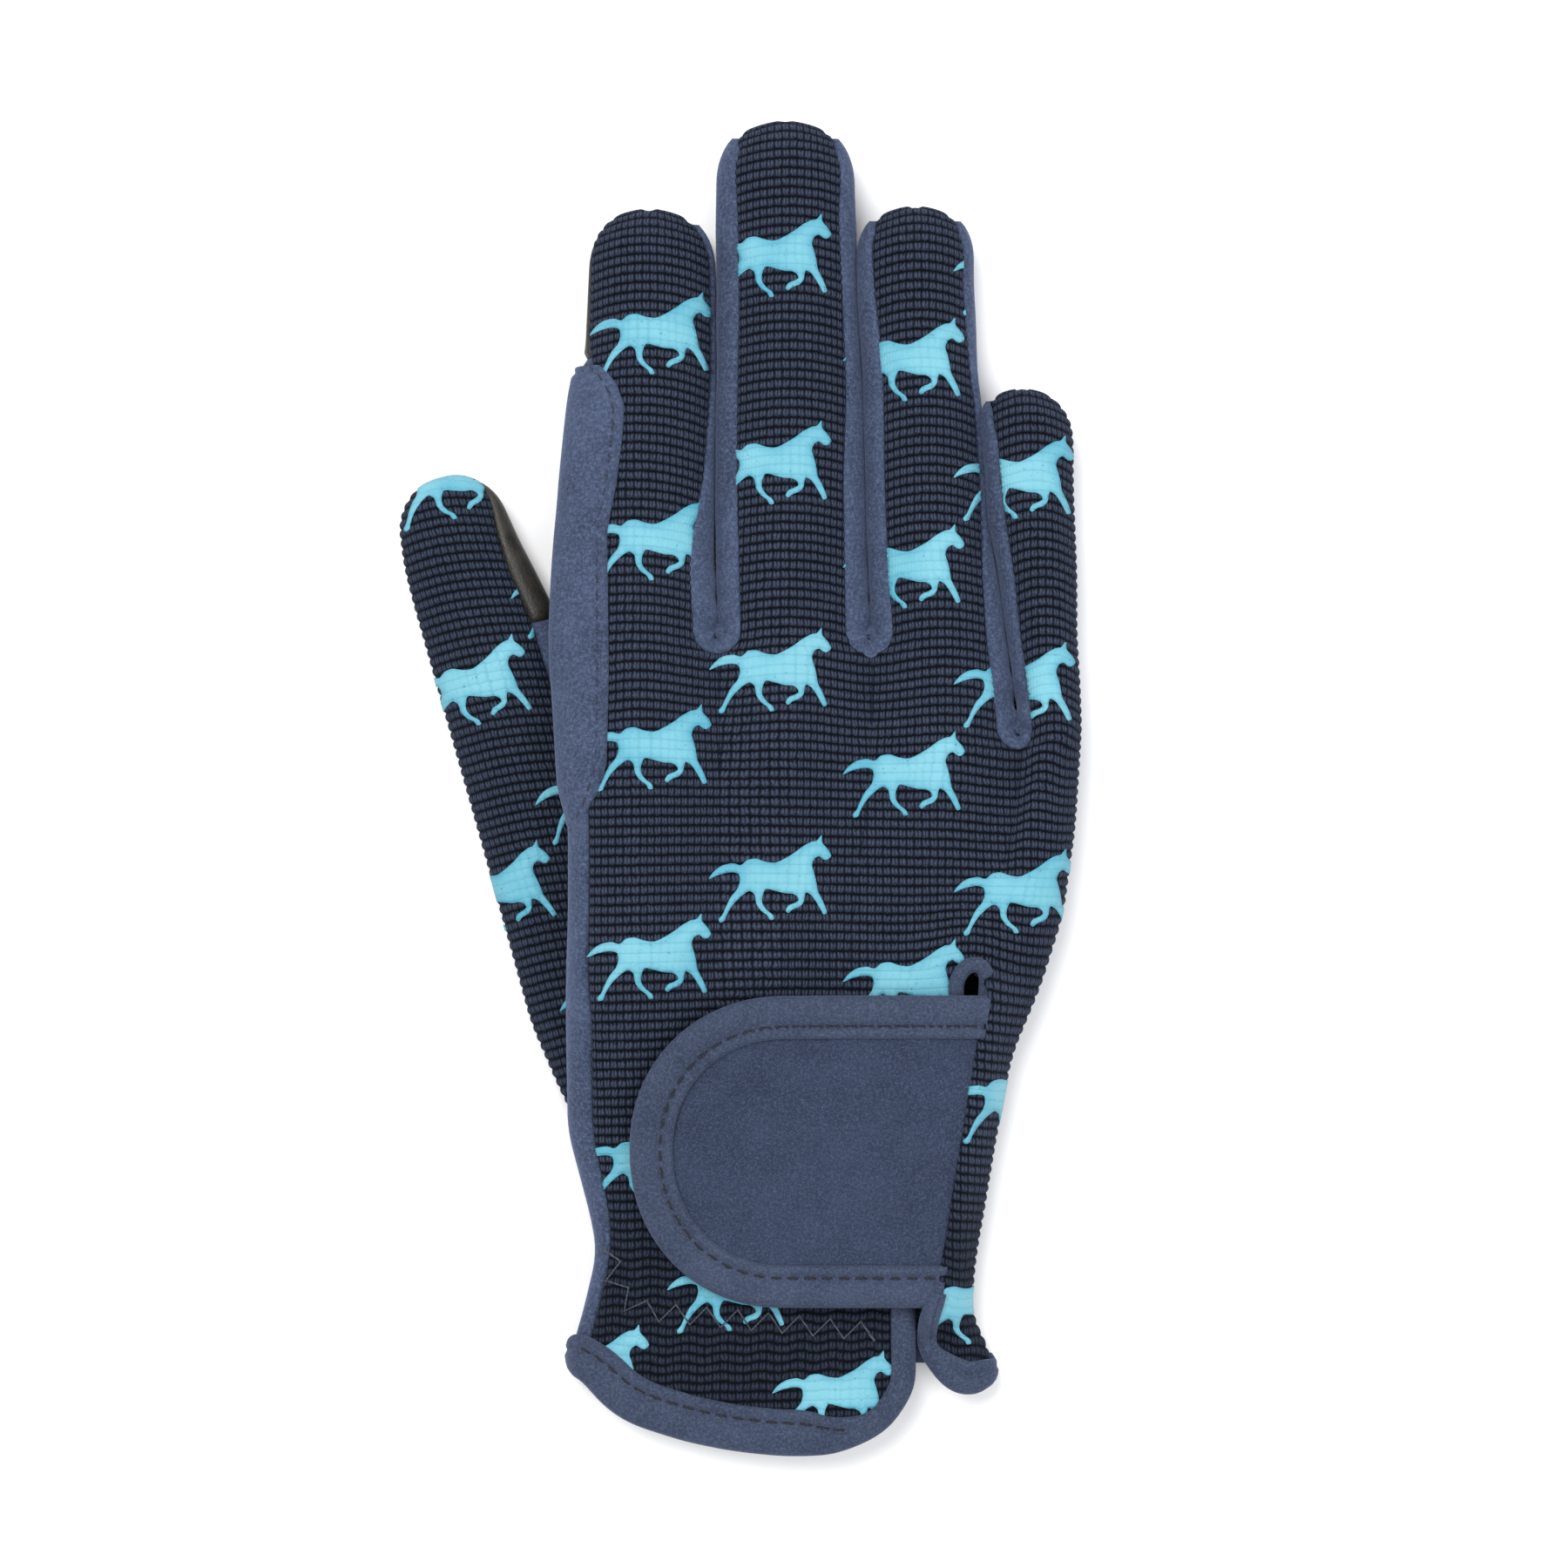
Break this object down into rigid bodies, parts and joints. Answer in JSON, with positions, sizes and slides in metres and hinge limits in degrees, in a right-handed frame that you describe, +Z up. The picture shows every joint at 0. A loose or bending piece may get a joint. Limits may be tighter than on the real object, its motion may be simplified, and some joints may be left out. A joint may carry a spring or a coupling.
{
  "type": "horse riding glove",
  "caption": "Child's right-hand riding glove lying palm down, with a knitted back, suede palm, rein patch, touch tips and a wrist strap.",
  "frame": {"origin": "bottom centre of the glove's box, on the surface it lies on", "axes": "+Y from the cuff to the fingertips, +X from the thumb side to the little finger side, +Z up through the back of the hand"},
  "size_m": [0.1018, 0.1988, 0.0223],
  "materials": {
    "knit": "matte ribbed knit",
    "suede": "matte synthetic suede",
    "touch": "smooth satin",
    "hook": "matte hook and loop"
  },
  "bodies": {
    "root": {"back_panel": "knit", "palm_panel": "suede", "index_touch_tip": "touch", "fourchette_index_middle": "suede", "fourchette_middle_ring": "suede", "fourchette_ring_little": "suede", "rein_patch": "suede", "thumb_back": "knit", "thumb_front": "suede", "thumb_touch_patch": "touch", "fastener_pad": "hook", "strap": "suede", "strap_binding": "suede", "cuff_binding": "suede", "narrow_flap_binding": "suede", "slit_loop_binding": "suede"}
  },
  "joints": []
}
